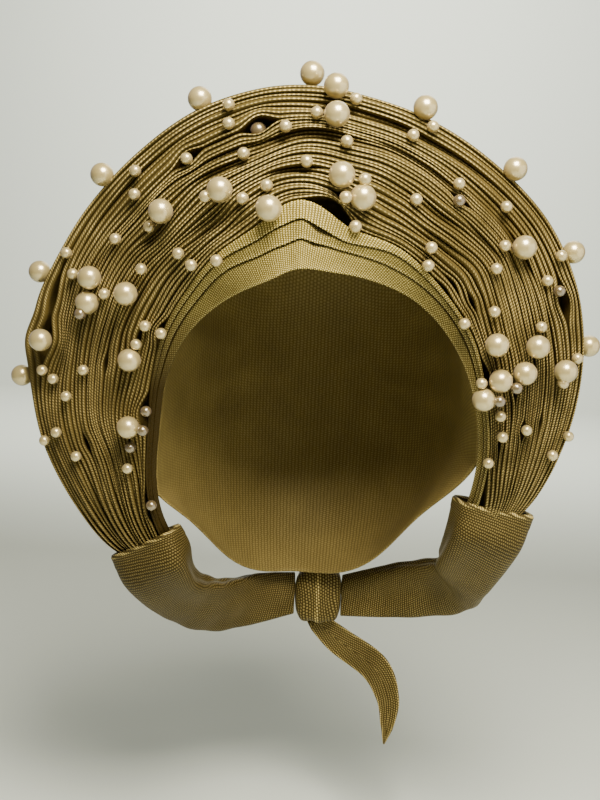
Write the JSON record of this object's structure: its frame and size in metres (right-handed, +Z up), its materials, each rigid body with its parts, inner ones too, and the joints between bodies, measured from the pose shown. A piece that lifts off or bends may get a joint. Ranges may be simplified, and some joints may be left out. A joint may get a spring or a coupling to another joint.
{
  "type": "tied gele head tie",
  "caption": "Gold-khaki head tie with a standing fan of pleats round the face, plain folded band, gathered side wraps tied at the nape and sewn imitation pearls.",
  "frame": {"origin": "on the inner face of the crown cover at the top of the head hollow, where the wearer's crown bears on the cloth", "axes": "+Z up along the wearer's head, the face looks along -Y, +X is towards the right side of the fan as seen from the front"},
  "size_m": [0.2925, 0.2052, 0.3679],
  "materials": {
    "gold_khaki_cloth": "stiff woven cloth with a dull gold lustre",
    "ivory_pearl": "glossy pearl coat"
  },
  "bodies": {
    "root": {"pleated_fan": "gold_khaki_cloth", "band_inner_fold": "gold_khaki_cloth", "band_middle_fold": "gold_khaki_cloth", "band_crest_fold": "gold_khaki_cloth", "crown_cover": "gold_khaki_cloth", "side_wrap_left": "gold_khaki_cloth", "side_wrap_right": "gold_khaki_cloth", "nape_knot": "gold_khaki_cloth", "tie_tail": "gold_khaki_cloth", "pearl_large_01": "ivory_pearl", "pearl_large_02": "ivory_pearl", "pearl_large_03": "ivory_pearl", "pearl_large_04": "ivory_pearl", "pearl_large_05": "ivory_pearl", "pearl_large_06": "ivory_pearl", "pearl_large_07": "ivory_pearl", "pearl_large_08": "ivory_pearl", "pearl_large_09": "ivory_pearl", "pearl_large_10": "ivory_pearl", "pearl_large_11": "ivory_pearl", "pearl_large_12": "ivory_pearl", "pearl_large_13": "ivory_pearl", "pearl_large_14": "ivory_pearl", "pearl_large_15": "ivory_pearl", "pearl_large_16": "ivory_pearl", "pearl_large_17": "ivory_pearl", "pearl_large_18": "ivory_pearl", "pearl_large_19": "ivory_pearl", "pearl_large_20": "ivory_pearl", "pearl_large_21": "ivory_pearl", "pearl_large_22": "ivory_pearl", "pearl_large_23": "ivory_pearl", "pearl_large_24": "ivory_pearl", "pearl_large_25": "ivory_pearl", "pearl_large_26": "ivory_pearl", "pearl_large_27": "ivory_pearl", "pearl_large_28": "ivory_pearl", "pearl_large_29": "ivory_pearl"}
  },
  "joints": []
}
